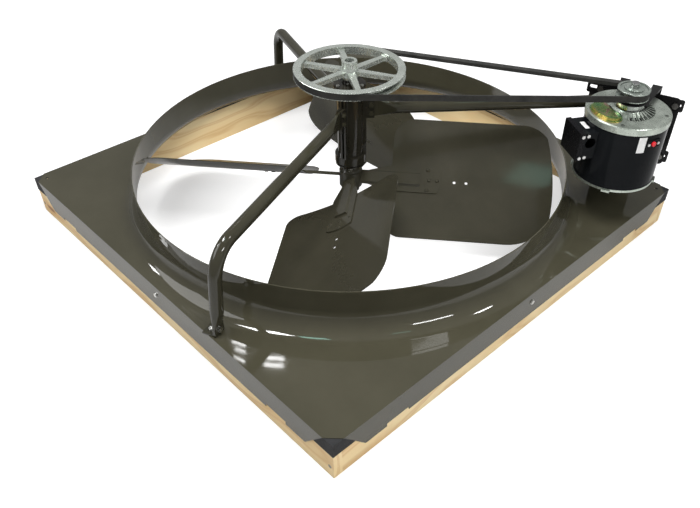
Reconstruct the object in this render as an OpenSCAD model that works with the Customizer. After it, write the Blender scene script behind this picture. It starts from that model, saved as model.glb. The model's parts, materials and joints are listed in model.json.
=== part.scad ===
// Belt-driven whole house fan: a sheet-steel venturi panel on a pine frame,
// a four-blade fan hung in a bearing housing on tubular struts, and a vertical
// motor on a slotted bracket that drives it through a V-belt.
// The origin is the middle of the frame's underside. +Z is up.

/* [Pine frame] */
// Thickness of the frame boards
board_t = 19; // [15:1:30]
// Height of the frame boards
board_h = 88; // [70:1:120]

/* [Venturi panel] */
// Side of the square panel, measured over its flanges
panel_side = 1040; // [1036:1:1300]
// Sheet thickness
sheet_t = 1; // [0.8:0.1:1.6]
// Depth of the flange that hangs down each side
flange_depth = 57; // [45:1:68]
// Leg of the corner that is cut off the top face
corner_cut = 25; // [15:1:40]
// Distance of each flange's lower end from the corner
flange_setback = 72; // [55:1:100]
// Length of the notches in the flanges' lower edges
notch_len = 54; // [30:1:80]
// Depth of those notches
notch_depth = 7; // [3:0.5:12]
// Distance of each notch from the middle of its side
notch_at = 371; // [250:1:390]
// Rise of the venturi ring above the panel
ring_rise = 90; // [70:1:130]
// Radius of the sweep from the panel into the ring
flare_r = 43; // [30:1:43.5]
// Height of the folded hem at the ring's top
hem_h = 8; // [5:0.5:14]
// Thickness of the foam tape under the panel
foam_t = 1; // [0.6:0.1:2]
// Depth of the foam tape down the boards' outer faces
foam_skirt = 30; // [15:1:45]

/* [Fan] */
// Diameter over the blade tips
fan_d = 914; // [780:1:914]
// Gap between the blade tips and the ring
tip_gap = 15; // [8:0.5:15.5]
// Number of blades
blade_count = 4; // [4]
// Direction of the first blade
blade_azimuth = 40; // [35:1:44]
// Pitch of the blades
blade_pitch = 32; // [20:1:36]
// Distance of a blade's inner edge from the shaft
blade_root_r = 92; // [80:1:110]
// Width of a blade
blade_w = 292; // [230:1:300]
// Blade sheet thickness
blade_t = 1.6; // [1.2:0.1:2.5]
// Camber radius of the blades and arms
camber_r = 700; // [500:10:1500]
// Height of the blades' middle above the panel
blade_rise = 20; // [10:1:24]
// Width of a spider arm
arm_w = 62; // [50:1:70]
// Thickness of a spider arm
arm_t = 2.4; // [1.8:0.1:4]
// Reach of a spider arm from the shaft
arm_reach = 206; // [190:1:225]

/* [Shaft and bearings] */
// Fan shaft diameter
shaft_d = 19.05; // [15:0.05:22]
// Bearing outside diameter
bearing_od = 47; // [42:0.5:48]
// Bearing width
bearing_w = 14; // [10:0.5:18]
// Wall of the bearing housing round its bearings
housing_wall = 4.5; // [3.5:0.5:8]
// Height of the housing's underside above the panel
housing_rise = 62; // [56:1:70]
// How far the housing's end flanges stand out from it
housing_flange = 6.5; // [5.5:0.5:9]
// Wall of the fan hub
hub_wall = 10; // [7:0.5:13]

/* [Struts] */
// Strut tube diameter
strut_d = 25.4; // [19:0.1:32]
// Strut tube wall
strut_wall = 1.6; // [1.2:0.1:2.5]
// Direction of the near side strut
strut_azimuth = -69; // [-72:1:-60]
// Distance of a strut's foot from the panel's edge
foot_in = 17.7; // [15:0.1:22]
// Height of the struts' bend corner above the panel
strut_rise = 167; // [140:1:190]
// Radius of the strut bend
strut_bend_r = 62; // [50:1:80]

/* [Belt drive] */
// Height of the belt's middle above the panel
belt_rise = 273.5; // [265:0.5:290]
// Distance between the fan and motor shafts
belt_centres = 569; // [560:1:575]
// Direction of the motor shaft from the fan shaft
belt_azimuth = 37.7; // [36:0.1:40]
// Outside diameter of the fan pulley
big_pulley_d = 232; // [200:1:250]
// Outside diameter of the motor pulley
small_pulley_d = 64.5; // [55:0.5:80]
// Belt width across its back
belt_w = 12.7; // [9.5:0.1:13]
// Belt height
belt_h = 8; // [6:0.5:9]

/* [Motor] */
// Motor shell diameter
motor_d = 167; // [150:1:167]
// Motor shell length
shell_len = 126; // [110:1:140]
// Motor shaft diameter
motor_shaft_d = 15.875; // [12:0.005:18]
// Direction in which the motor slides to tighten the belt
slide_azimuth = 18; // [15:1:22]
// Travel of the motor each way from the middle of its slots
slide_travel = 12; // [6:0.5:12]
// How far outside that middle the motor stands, with its belt tight
slide_set = 7; // [0:0.5:7]
// Width of the tension slots
slot_w = 8.5; // [7:0.1:10]

/* [Hidden] */
$fn = 96;

// Clearances
seat_gap = 0.3;       // between parts that move past each other
run_gap = 0.05;       // radial, shaft in a plain bearing
fit_gap = 0.1;        // radial, fastener in its hole

// Heights and radii that the rest is placed from
panel_z = board_h + foam_t + sheet_t;
frame_side = panel_side - 2 * (sheet_t + foam_t);
frame_in = frame_side / 2 - board_t;
fan_r = fan_d / 2;
throat_r = fan_r + tip_gap;
ring_r = throat_r + sheet_t;
flare_end_r = ring_r + flare_r;
blade_z = panel_z + blade_rise;
shaft_r = shaft_d / 2;
housing_z = panel_z + housing_rise;
belt_z = panel_z + belt_rise;
bearing_r = bearing_od / 2;
housing_od = bearing_od + 2 * housing_wall;
housing_flange_d = housing_od + 2 * housing_flange;
hub_d = shaft_d + 2 * hub_wall;
foot_r = (panel_side / 2 - foot_in) / sin(-strut_azimuth);
cap_t = 3;
pulley_half = belt_w / 2 + 2;
boss_drop = 13.5;     // pulley boss below the belt's middle
boss_top = 23.5;      // pulley boss above the belt's middle
housing_top = belt_z - 28.5;

// ---------- small helpers ----------
function unit(v) = v / norm(v);
function arc_pts(c, r, a0, a1, n) =
  [for (i = [0:n]) c + r * [cos(a0 + (a1 - a0) * i / n), sin(a0 + (a1 - a0) * i / n)]];

module ring(r_out, r_in, h) {
  difference() {
    cylinder(r = r_out, h = h);
    translate([0, 0, -1]) cylinder(r = r_in, h = h + 2);
  }
}

module around(n, first = 0) {
  for (i = [0:n - 1]) rotate([0, 0, first + i * 360 / n]) children();
}

// Hexagon head or nut, by its width across flats
module hex(flats, h) {
  cylinder(d = flats / cos(30), h = h, $fn = 6);
}

// Hex bolt: head on top of z = 0, shank down through it, nut at the far end
module hex_bolt(d, flats, grip, nut = true) {
  union() {
    hex(flats, d * 0.65);
    translate([0, 0, -grip - (nut ? d : 0)]) cylinder(d = d, h = grip + (nut ? d : 0) + 0.1);
    if (nut) translate([0, 0, -grip - d * 0.8]) hex(flats, d * 0.8);
  }
}

// ---------- pine frame ----------
frame_screw_d = 4.2;
frame_screw_len = 55;
frame_screw_head = 8;
frame_screw_rows = [0.28, 0.72];    // shares of the board's height
panel_screw_d = 4.2;
panel_screw_len = 20;
panel_screw_z = panel_z - 23;

// Corner screws run through the long boards into the ends of the short ones
module frame_screw_places() {
  for (sx = [-1, 1], sy = [-1, 1], k = frame_screw_rows)
    translate([sx * (frame_side / 2 - board_t / 2), sy * frame_side / 2, board_h * k])
      rotate([sy * 90, 0, 0]) children();
}

module frame_screw(extra = 0) {
  translate([0, 0, 0]) cylinder(d = frame_screw_d + extra, h = frame_screw_len);
  cylinder(d1 = frame_screw_head + extra, d2 = frame_screw_d + extra, h = 3);
}

// One screw in the middle of each flange
module panel_screw_places() {
  around(4) translate([0, -panel_side / 2, panel_screw_z]) rotate([90, 0, 0]) children();
}

module screw_cuts() {
  frame_screw_places() frame_screw(2 * fit_gap);
  panel_screw_places() translate([0, 0, -panel_screw_len])
    cylinder(d = panel_screw_d + 2 * fit_gap, h = panel_screw_len + 5);
  lag_places() translate([0, 0, -lag_len]) cylinder(d = lag_d + 2 * fit_gap, h = lag_len + 5);
}

module long_board(side) {
  difference() {
    translate([-frame_side / 2, side > 0 ? frame_in : -frame_side / 2, 0])
      cube([frame_side, board_t, board_h]);
    screw_cuts();
  }
}

module short_board(side) {
  difference() {
    translate([side > 0 ? frame_in : -frame_side / 2, -frame_in, 0])
      cube([board_t, 2 * frame_in, board_h]);
    screw_cuts();
  }
}

module frame_board_front() { color("burlywood") long_board(-1); }
module frame_board_back() { color("burlywood") long_board(1); }
module frame_board_left() { color("burlywood") short_board(-1); }
module frame_board_right() { color("burlywood") short_board(1); }

module frame_screws() {
  color("dimgray") frame_screw_places() frame_screw();
}

// Foam tape over the boards' tops and a short way down their outer faces
module foam_gasket() {
  color("black") difference() {
    translate([-frame_side / 2 - foam_t, -frame_side / 2 - foam_t, board_h + foam_t - foam_skirt])
      cube([frame_side + 2 * foam_t, frame_side + 2 * foam_t, foam_skirt]);
    translate([-frame_side / 2, -frame_side / 2, 0]) cube([frame_side, frame_side, board_h]);
    translate([-frame_in, -frame_in, 0]) cube([2 * frame_in, 2 * frame_in, 2 * board_h]);
    screw_cuts();
  }
}

// ---------- venturi panel ----------
corner_hole_d = 7;
corner_hole_at = 22;     // from both edges, at the left and right corners
strut_bolt_d = 6;
strut_bolt_flats = 10;

// Section of the flare, the throat and the hem, as revolved
module ring_section() {
  zc = panel_z + flare_r;
  top = panel_z + ring_rise;
  polygon(concat(
    [[flare_end_r + 3, panel_z - sheet_t], [flare_end_r + 3, panel_z]],
    arc_pts([flare_end_r, zc], flare_r, 270, 180, 16),
    [[ring_r, top - hem_h], [ring_r + sheet_t, top - hem_h], [ring_r + sheet_t, top - 0.7],
     [ring_r + 0.3, top], [throat_r + 0.4, top], [throat_r, top - 0.6]],
    arc_pts([flare_end_r, zc], flare_r + sheet_t, 180, 270, 16)
  ));
}

module panel_outline(side, cut) {
  h = side / 2;
  polygon([
    [-h + cut, -h], [h - cut, -h], [h, -h + cut], [h, h - cut],
    [h - cut, h], [-h + cut, h], [-h, h - cut], [-h, -h + cut]
  ]);
}

// One flange in its own plane: x along the side, y up, with slanted ends and notches
module flange_outline() {
  h = panel_side / 2;
  lo = -flange_depth;
  difference() {
    polygon([
      [-h + corner_cut, 0], [-h + flange_setback, lo],
      [h - flange_setback, lo], [h - corner_cut, 0]
    ]);
    for (s = [-1, 1])
      translate([s * notch_at - notch_len / 2, lo - 1]) square([notch_len, notch_depth + 1]);
  }
}

module flanges() {
  around(4)
    translate([0, -panel_side / 2 + sheet_t, panel_z]) rotate([90, 0, 0])
      linear_extrude(sheet_t) flange_outline();
}

module venturi_panel() {
  color("#5f5b4c") difference() {
    union() {
      translate([0, 0, panel_z - sheet_t]) linear_extrude(sheet_t) difference() {
        panel_outline(panel_side, corner_cut);
        circle(r = flare_end_r + 1);
      }
      rotate_extrude($fn = 180) ring_section();
      flanges();
    }
    screw_cuts();
    for (s = [-1, 1])
      translate([s, s, 0] * (panel_side / 2 - corner_hole_at))
        translate([0, 0, panel_z - 5]) cylinder(d = corner_hole_d, h = 10);
    bracket_bolt_places() translate([0, 0, -10])
      cylinder(d = strut_bolt_d + 2 * fit_gap, h = 20);
  }
}

module panel_screws() {
  color("silver") panel_screw_places() {
    hex(8, 2.8);
    cylinder(d = 10, h = 1);
    translate([0, 0, -panel_screw_len]) cylinder(d = panel_screw_d, h = panel_screw_len + 1);
  }
}

// ---------- struts ----------
// A strut lies in a vertical plane: x is the distance from the shaft, y the height.
hub_end_h = strut_d + 10.6;           // height of the flattened inner end
flat_t = 4;                           // thickness of a flattened end
hub_end_r = housing_od / 2 + 32;      // where the flat begins to open into the tube
hub_end_z = panel_z + 185;            // height of the struts at the housing
foot_flat_w = strut_d + 1.6;
foot_flat_top = 18;                   // flat length above the panel
foot_blend_top = 50;
foot_lean = 5;                        // the tube's middle stands this far outside the flat's
bend_corner = [foot_r - 22.5, panel_z + strut_rise];
foot_pt = [foot_r + foot_lean, panel_z];
hub_pt = [hub_end_r - 10, hub_end_z];
inward = unit(hub_pt - bend_corner);
downward = unit(foot_pt - bend_corner);
bend_turn = 180 - acos(inward * downward);
bend_reach = strut_bend_r * tan(bend_turn / 2);
bend_mid = bend_corner + unit(inward + downward) * strut_bend_r / cos(bend_turn / 2);

module tube_section() {
  difference() {
    circle(d = strut_d);
    circle(d = strut_d - 2 * strut_wall);
  }
}

// The bend is a hair fuller than the straight runs, which reach a little way into it
bend_lap = 0.2;
module bend_section() {
  difference() {
    circle(d = strut_d + 0.1);
    circle(d = strut_d - 2 * strut_wall - 0.1);
  }
}

module tube_between(p, q) {
  v = q - p;
  translate(p) rotate([0, 0, atan2(v[1], v[0])]) rotate([0, 90, 0])
    linear_extrude(norm(v)) tube_section();
}

// Flattened end that opens into the tube at point p, which runs along direction a
module flat_to_tube(flat_at, flat_size, p, a) {
  hull() {
    translate(flat_at) cube([flat_size[0], flat_size[1], flat_t], center = true);
    translate(p) rotate([0, 0, a]) rotate([0, 90, 0])
      cylinder(d = strut_d - strut_wall / 2, h = 1, $fn = 32);
  }
}

// Flat plate at the housing, with its two bolt holes
hub_bolt_r = housing_od / 2 + 17;
hub_bolt_rows = [-10, 10];
module hub_end(height, opens_at, a) {
  difference() {
    union() {
      translate([housing_od / 2 + 0.5, height - hub_end_h / 2, -flat_t / 2])
        cube([hub_end_r - housing_od / 2 - 0.5 + 1, hub_end_h, flat_t]);
      flat_to_tube([hub_end_r + 0.5, height], [1, hub_end_h], opens_at, a);
    }
    for (dz = hub_bolt_rows)
      translate([hub_bolt_r, height + dz, -5]) cylinder(d = strut_bolt_d + 2 * fit_gap, h = 10);
  }
}

module side_strut() {
  blend = 40;
  opens = hub_pt - inward * (hub_end_r + blend - hub_pt[0]);
  leg_start = foot_pt - downward * foot_blend_top;
  union() {
    hub_end(hub_end_z, opens, atan2(-inward[1], -inward[0]));
    tube_between(opens, bend_corner + inward * (bend_reach - bend_lap));
    translate(bend_mid) rotate([0, 0, atan2(downward[1], downward[0]) + 90])
      rotate_extrude(angle = bend_turn) translate([strut_bend_r, 0]) bend_section();
    tube_between(bend_corner + downward * (bend_reach - bend_lap), leg_start);
    difference() {
      union() {
        translate([foot_r - foot_flat_w / 2, panel_z + seat_gap, -flat_t / 2])
          cube([foot_flat_w, foot_flat_top, flat_t]);
        flat_to_tube([foot_r, panel_z + foot_flat_top], [foot_flat_w, 1],
          leg_start, atan2(downward[1], downward[0]));
      }
      translate([foot_r, panel_z + 11, -5]) cylinder(d = strut_bolt_d + 2 * fit_gap, h = 10);
    }
  }
}

// The struts' planes: the far one mirrors the near one about the motor's corner
module near_plane() { rotate([0, 0, strut_azimuth]) rotate([90, 0, 0]) children(); }
module far_plane() { mirror([1, -1, 0]) near_plane() children(); }

strut_paint = "#57534a";
module strut_near() { color(strut_paint) near_plane() side_strut(); }
module strut_far() { color(strut_paint) far_plane() side_strut(); }

// Angle clip beside each foot: one leg on the flat, the other on the panel
clip_t = 3;
clip_w = 26;
clip_h = 17;
clip_leg = 26;
clip_screw_out = 16;    // lag screw's distance from the strut's middle plane
lag_d = 6.4;
lag_len = 38;

module foot_clip() {
  difference() {
    union() {
      translate([foot_r - clip_w / 2, panel_z, flat_t / 2]) cube([clip_w, clip_h, clip_t]);
      translate([foot_r - clip_w / 2, panel_z, flat_t / 2]) cube([clip_w, clip_t, clip_leg]);
    }
    translate([foot_r, panel_z + 11, 0]) cylinder(d = strut_bolt_d + 2 * fit_gap, h = 10);
    translate([foot_r, panel_z - 1, clip_screw_out]) rotate([-90, 0, 0])
      cylinder(d = lag_d + 2 * fit_gap, h = 10);
  }
}

module strut_foot_clips() {
  color("#4c493f") {
    near_plane() foot_clip();
    far_plane() foot_clip();
  }
}

module foot_cross_bolt() {
  translate([foot_r, panel_z + 11, -flat_t / 2]) rotate([180, 0, 0])
    hex_bolt(strut_bolt_d, strut_bolt_flats, flat_t + clip_t);
}

module foot_bolts() {
  color("silver") {
    near_plane() foot_cross_bolt();
    far_plane() foot_cross_bolt();
  }
}

// Lag screws hold the clips through the panel and the foam into the boards below
module lag_places() {
  for (far = [false, true])
    mirror(far ? [1, -1, 0] : [0, 0, 0])
      rotate([0, 0, strut_azimuth]) translate([foot_r, -clip_screw_out, panel_z + clip_t])
        children();
}

module foot_lag_screws() {
  color("silver") lag_places() {
    hex(strut_bolt_flats, 4);
    translate([0, 0, -lag_len]) cylinder(d1 = 3, d2 = lag_d, h = 6);
    translate([0, 0, 6 - lag_len]) cylinder(d = lag_d, h = lag_len - 5);
  }
}

// ---------- motor arm ----------
arm_azimuth = 48.5;
arm_in_z = panel_z + 191;
arm_out_z = panel_z + 203;
arm_len = 620;
module arm_plane() { rotate([0, 0, arm_azimuth]) rotate([90, 0, 0]) children(); }

module motor_arm() {
  blend = 40;
  rise = atan2(arm_out_z - arm_in_z, belt_centres);
  opens = [hub_end_r + blend, arm_in_z];
  end = opens + arm_len * [cos(rise), sin(rise)];
  color(strut_paint) difference() {
    arm_plane() union() {
      hub_end(arm_in_z, opens, rise);
      tube_between(opens, end);
    }
    motor_frame() translate([-400, bracket_y, 0]) cube([800, 400, 600]);
  }
}

// ---------- bearing housing ----------
rib_h = 7;
rib_t = 4;
rib_reach = 24;          // ribs run out this far to take the strut bolts
housing_len = housing_top - housing_z;
flange_t = 12;
cap_screw_r = (bearing_r + housing_flange_d / 2) / 2;
strut_directions = [strut_azimuth, 90 - strut_azimuth, arm_azimuth];
strut_heights = [hub_end_z, hub_end_z, arm_in_z];

// A pair of ribs grips each strut's flattened end
module rib_pair(height) {
  ear = hub_end_h + 6;
  for (s = [-1, 1]) {
    translate([bearing_r, s * (flat_t / 2 + seat_gap + rib_t / 2) - rib_t / 2, housing_z + 20])
      cube([housing_od / 2 + rib_h - bearing_r, rib_t, housing_len - 32]);
    translate([bearing_r, s * (flat_t / 2 + seat_gap + rib_t / 2) - rib_t / 2, height - ear / 2])
      cube([housing_od / 2 + rib_reach - bearing_r, rib_t, ear]);
  }
}

module bearing_housing() {
  color("#3f3b34") difference() {
    union() {
      translate([0, 0, housing_z]) cylinder(d = housing_od, h = housing_len);
      translate([0, 0, housing_z + 4]) cylinder(d = housing_flange_d, h = 18);
      translate([0, 0, housing_z]) cylinder(d1 = housing_flange_d - 5, d2 = housing_flange_d, h = 4);
      translate([0, 0, housing_top - flange_t]) cylinder(d = housing_flange_d, h = flange_t);
      for (i = [0:2]) rotate([0, 0, strut_directions[i]]) rib_pair(strut_heights[i]);
    }
    translate([0, 0, housing_z - 1]) cylinder(r = bearing_r - 3.5, h = housing_len + 2);
    translate([0, 0, housing_z - 1]) cylinder(r = bearing_r, h = bearing_w + 1);
    translate([0, 0, housing_top - bearing_w]) cylinder(r = bearing_r, h = bearing_w + 1);
    for (i = [0:2]) rotate([0, 0, strut_directions[i]])
      for (dz = hub_bolt_rows)
        translate([hub_bolt_r, 0, strut_heights[i] + dz]) rotate([90, 0, 0])
          cylinder(d = strut_bolt_d + 2 * fit_gap, h = 30, center = true);
    cap_screw_places() translate([0, 0, -12]) cylinder(d = 4.2, h = 30);
  }
}

module hub_bolts() {
  half = flat_t / 2 + seat_gap + rib_t;
  color("#6d6a62")
    for (i = [0:2]) rotate([0, 0, strut_directions[i]])
      for (dz = hub_bolt_rows)
        translate([hub_bolt_r, -half, strut_heights[i] + dz]) rotate([90, 0, 0])
          hex_bolt(strut_bolt_d, strut_bolt_flats, 2 * half);
}

module cap_screw_places() {
  translate([0, 0, housing_top + cap_t]) around(3, 20) translate([cap_screw_r, 0, 0]) children();
  translate([0, 0, housing_z - cap_t]) rotate([180, 0, 0]) around(3, 40)
    translate([cap_screw_r, 0, 0]) children();
}

module bearing_cap() {
  ring(housing_flange_d / 2 - 1, shaft_r + 6.5, cap_t);
}

module bearing_caps() {
  color("#35322c") difference() {
    union() {
      translate([0, 0, housing_top]) bearing_cap();
      translate([0, 0, housing_z - cap_t]) bearing_cap();
    }
    cap_screw_places() translate([0, 0, -12]) cylinder(d = 4.2, h = 30);
  }
}

module cap_screws() {
  color("silver") cap_screw_places() {
    cylinder(d = 7, h = 2.2);
    translate([0, 0, -cap_t - 7]) cylinder(d = 4, h = cap_t + 8);
  }
}

// Ball bearing, fixed side: the outer ring and its balls
ball_r = (bearing_r - shaft_r - 6.2) / 2 - fit_gap;
ball_path_r = (bearing_r - 3 + shaft_r + 3.2) / 2;
module bearing_fixed() {
  ring(bearing_r, ball_path_r + ball_r + fit_gap, bearing_w);
  around(9) translate([ball_path_r, 0, bearing_w / 2]) sphere(r = ball_r, $fn = 32);
}

module upper_bearing() {
  color("lightgray") translate([0, 0, housing_top - bearing_w]) bearing_fixed();
}
module lower_bearing() { color("lightgray") translate([0, 0, housing_z]) bearing_fixed(); }

module bearing_inner_rings() {
  color("gainsboro") for (z = [housing_top - bearing_w, housing_z])
    translate([0, 0, z]) ring(ball_path_r - ball_r - fit_gap, shaft_r + 0.02, bearing_w);
}

// ---------- fan rotor ----------
hub_z = panel_z - 12;
sleeve_half = 19;        // half the height of the spider's sleeve
hub_top = housing_z - cap_t - 2.2 - 1.2;
shaft_top = belt_z + boss_top - 7;
collar_r = shaft_r + 5;
key_w = 4.76;
set_screw_d = 7.9;

module fan_shaft() {
  color("silver") difference() {
    translate([0, 0, hub_z - 4]) cylinder(r = shaft_r, h = shaft_top - hub_z + 4);
    key_slot(fit_gap);
  }
}

// The key sits half in the shaft and half in the pulley's boss
module key_slot(extra) {
  translate([shaft_r - key_w / 2 - extra, -key_w / 2 - extra, belt_z - boss_drop])
    cube([key_w + 2 * extra, key_w + 2 * extra, shaft_top - belt_z + boss_drop + 1]);
}

module pulley_key() {
  color("gray") translate([shaft_r - key_w / 2, -key_w / 2, belt_z - boss_drop])
    cube([key_w, key_w, 24]);
}

module shaft_collar() {
  color("#77756f") difference() {
    translate([0, 0, housing_top]) ring(collar_r, shaft_r + 0.02, 11);
    collar_screw_place() translate([0, 0, -2]) cylinder(d = 5.2, h = 20);
  }
}

module collar_screw_place() {
  translate([0, 0, housing_top + 7]) rotate([0, 0, -60]) translate([shaft_r, 0, 0])
    rotate([0, 90, 0]) children();
}

hub_screw_z = [hub_z + 6.5, hub_top - 8];
module hub_screw_places() {
  for (z = hub_screw_z) translate([0, 0, z]) rotate([0, 0, -47]) translate([shaft_r, 0, 0])
    rotate([0, 90, 0]) children();
}

module boss_screw_place() {
  translate([0, 0, belt_z + 15]) rotate([0, 0, -28]) translate([shaft_r, 0, 0])
    rotate([0, 90, 0]) children();
}

module fan_hub() {
  color("#4f4b41") difference() {
    union() {
      translate([0, 0, hub_z]) cylinder(d = hub_d, h = hub_top - hub_z);
      translate([0, 0, blade_z + sleeve_half]) cylinder(d1 = hub_d + 6, d2 = hub_d, h = 4);
    }
    translate([0, 0, hub_z - 1]) cylinder(r = shaft_r + 0.02, h = hub_top - hub_z + 2);
    hub_screw_places() translate([0, 0, -2]) cylinder(d = set_screw_d + 0.2, h = 30);
  }
}

module fan_set_screws() {
  color("silver") {
    hub_screw_places() cylinder(d = set_screw_d, h = hub_d / 2 - shaft_r + 2);
    collar_screw_place() cylinder(d = 5, h = collar_r - shaft_r);
    boss_screw_place() cylinder(d = 6, h = boss_r - shaft_r + 1);
  }
}

// A blade's own frame: x out along the arm, y across it, z off its face.
// The sheet is bent about an axis above it, parallel to x.
module blade_frame(i) {
  rotate([0, 0, blade_azimuth + i * 360 / blade_count]) translate([0, 0, blade_z])
    rotate([blade_pitch, 0, 0]) children();
}

module camber_shell(r_in, r_out) {
  translate([0, 0, camber_r]) rotate([0, 90, 0]) difference() {
    cylinder(r = r_out, h = fan_r + 20, $fn = 360);
    translate([0, 0, -1]) cylinder(r = r_in, h = fan_r + 22, $fn = 360);
  }
}

module on_camber(y) {
  translate([0, 0, camber_r]) rotate([asin(y / camber_r), 0, 0])
    translate([0, 0, -camber_r]) children();
}

// Paddle outline: round inner corners, a tip that follows the fan's circle
module blade_outline() {
  h = blade_w / 2;
  inner = [46, 30];       // corner radii at the inner edge, trailing and leading
  outer = [72, 104];      // and at the tip
  x1 = fan_r;
  intersection() {
    circle(r = fan_r, $fn = 360);
    polygon(concat(
      arc_pts([blade_root_r + inner[0], h - inner[0]], inner[0], 180, 90, 8),
      arc_pts([x1 - outer[0], h - outer[0]], outer[0], 90, 0, 10),
      arc_pts([x1 - outer[1], -h + outer[1]], outer[1], 0, -90, 12),
      arc_pts([blade_root_r + inner[1], -h + inner[1]], inner[1], 270, 180, 6)
    ));
  }
}

rivet_d = 5;
blade_seat = 0.05;       // film of paint between a blade and its arm
rivet_in = 6;            // of the outer rivets from the arm's edges
rivet_places = [
  [arm_reach - 31, arm_w / 2 - rivet_in], [arm_reach - 27, 0],
  [arm_reach - 31, rivet_in - arm_w / 2], [arm_reach - 9, 0]
];
blade_holes = [[arm_reach + 30, 0], [arm_reach + 57, 0]];

module rivet_cuts() {
  for (p = rivet_places) on_camber(p[1]) translate([p[0], 0, -10])
    cylinder(d = rivet_d + 2 * fit_gap, h = 20);
}

module blade(i) {
  color("#5b5748") blade_frame(i) difference() {
    intersection() {
      translate([0, 0, -40]) linear_extrude(80) blade_outline();
      camber_shell(camber_r + blade_seat, camber_r + blade_seat + blade_t);
    }
    rivet_cuts();
    for (p = blade_holes) translate([p[0], p[1], -10]) cylinder(d = 6.5, h = 20);
  }
}

module blade_1() { blade(0); }
module blade_2() { blade(1); }
module blade_3() { blade(2); }
module blade_4() { blade(3); }

// Arm plan: narrow at the sleeve, full width over the blade, rounded at its end
module arm_outline() {
  h = arm_w / 2;
  intersection() {
    polygon([
      [0, -15], [40, -17], [blade_root_r - 6, -h], [arm_reach, -h],
      [arm_reach, h], [blade_root_r - 6, h], [40, 17], [0, 15]
    ]);
    translate([arm_reach - 62, 0]) union() {
      circle(r = 62);
      translate([-arm_reach, -h]) square([arm_reach, 2 * h]);
    }
  }
}

arm_rib_h = 5;
arm_rib_len = arm_reach - 48;
module spider_arm() {
  difference() {
    union() {
      intersection() {
        translate([0, 0, -40]) linear_extrude(80) arm_outline();
        camber_shell(camber_r - arm_t, camber_r);
      }
      // pressed channel along the arm
      translate([0, 0, arm_t - 0.3]) rotate([90, 0, 90]) linear_extrude(arm_rib_len)
        polygon([[-17, 0], [17, 0], [13, arm_rib_h], [-13, arm_rib_h]]);
    }
    rivet_cuts();
  }
}

module spider() {
  color("#534f42") difference() {
    union() {
      translate([0, 0, blade_z - sleeve_half]) cylinder(d = hub_d + 13, h = 2 * sleeve_half);
      for (i = [0:blade_count - 1]) blade_frame(i) spider_arm();
    }
    translate([0, 0, blade_z - 60]) cylinder(d = hub_d, h = 120);
  }
}

module blade_rivets() {
  color("#6b6758") for (i = [0:blade_count - 1]) blade_frame(i)
    for (p = rivet_places) on_camber(p[1]) translate([p[0], 0, 0]) {
      translate([0, 0, arm_t + 0.02]) cylinder(d1 = 9, d2 = 6, h = 2.2);
      translate([0, 0, -blade_t - 0.1]) cylinder(d = rivet_d, h = arm_t + blade_t + 0.2);
      translate([0, 0, -blade_seat - blade_t - 1.6]) cylinder(d = 8, h = 1.6);
    }
}

// ---------- belt and pulleys ----------
groove_half_angle = 19;
groove_depth = belt_h + 3;
pitch_in = 3;             // belt's pitch line below a pulley's edge
boss_r = shaft_r + 6.5;
rim_t = 5;
belt_taper = belt_h * tan(groove_half_angle);
groove_top = belt_w / 2 + 0.6;

// Half section of a grooved rim of outer radius r, from radius r_in outwards
module rim_section(r, r_in, half) {
  bottom = groove_top - groove_depth * tan(groove_half_angle);
  polygon([
    [r_in, -half], [r - 0.8, -half], [r, -half + 0.8],
    [r, -groove_top], [r - groove_depth, -bottom], [r - groove_depth, bottom], [r, groove_top],
    [r, half - 0.8], [r - 0.8, half], [r_in, half]
  ]);
}

spoke_first = 28;
spoke_h = 9;
module fan_pulley() {
  r = big_pulley_d / 2;
  r_in = r - groove_depth - rim_t;
  color("#c9ccc8") difference() {
    translate([0, 0, belt_z]) union() {
      rotate_extrude($fn = 180) rim_section(r, r_in, pulley_half);
      translate([0, 0, -boss_drop]) cylinder(r = boss_r, h = boss_drop + boss_top);
      translate([0, 0, -6]) cylinder(r1 = boss_r + 6, r2 = boss_r, h = 16);
      around(6, spoke_first) pulley_spoke(r_in);
    }
    translate([0, 0, belt_z - 60]) cylinder(r = shaft_r + 0.02, h = 120);
    key_slot(fit_gap);
    boss_screw_place() translate([0, 0, -2]) cylinder(d = 6.2, h = 30);
  }
}

// Spoke: a web that widens into the rim, with a rib along its middle
module pulley_spoke(r_in) {
  fillet = 9;
  translate([0, 0, -spoke_h / 2]) linear_extrude(spoke_h) difference() {
    polygon([[boss_r - 2, -8], [r_in - fillet, -5.5], [r_in - fillet, -5.5 - fillet],
      [r_in + 1, -5.5 - fillet], [r_in + 1, 5.5 + fillet], [r_in - fillet, 5.5 + fillet],
      [r_in - fillet, 5.5], [boss_r - 2, 8]]);
    for (s = [-1, 1]) translate([r_in - fillet, s * (5.5 + fillet)]) circle(r = fillet);
  }
}

fan_pitch_r = big_pulley_d / 2 - pitch_in;
motor_pitch_r = small_pulley_d / 2 - pitch_in;
belt_lean = asin((fan_pitch_r - motor_pitch_r) / belt_centres);

// Belt section: x outwards from the pitch line
module belt_section() {
  polygon([
    [pitch_in - 0.5, -belt_w / 2], [pitch_in - 0.5, belt_w / 2],
    [pitch_in - 0.5 - belt_h, belt_w / 2 - belt_taper],
    [pitch_in - 0.5 - belt_h, -belt_w / 2 + belt_taper]
  ]);
}

module belt_arc(r, a0, sweep) {
  rotate([0, 0, a0]) rotate_extrude(angle = sweep, $fn = 180) translate([r, 0]) belt_section();
}

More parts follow.
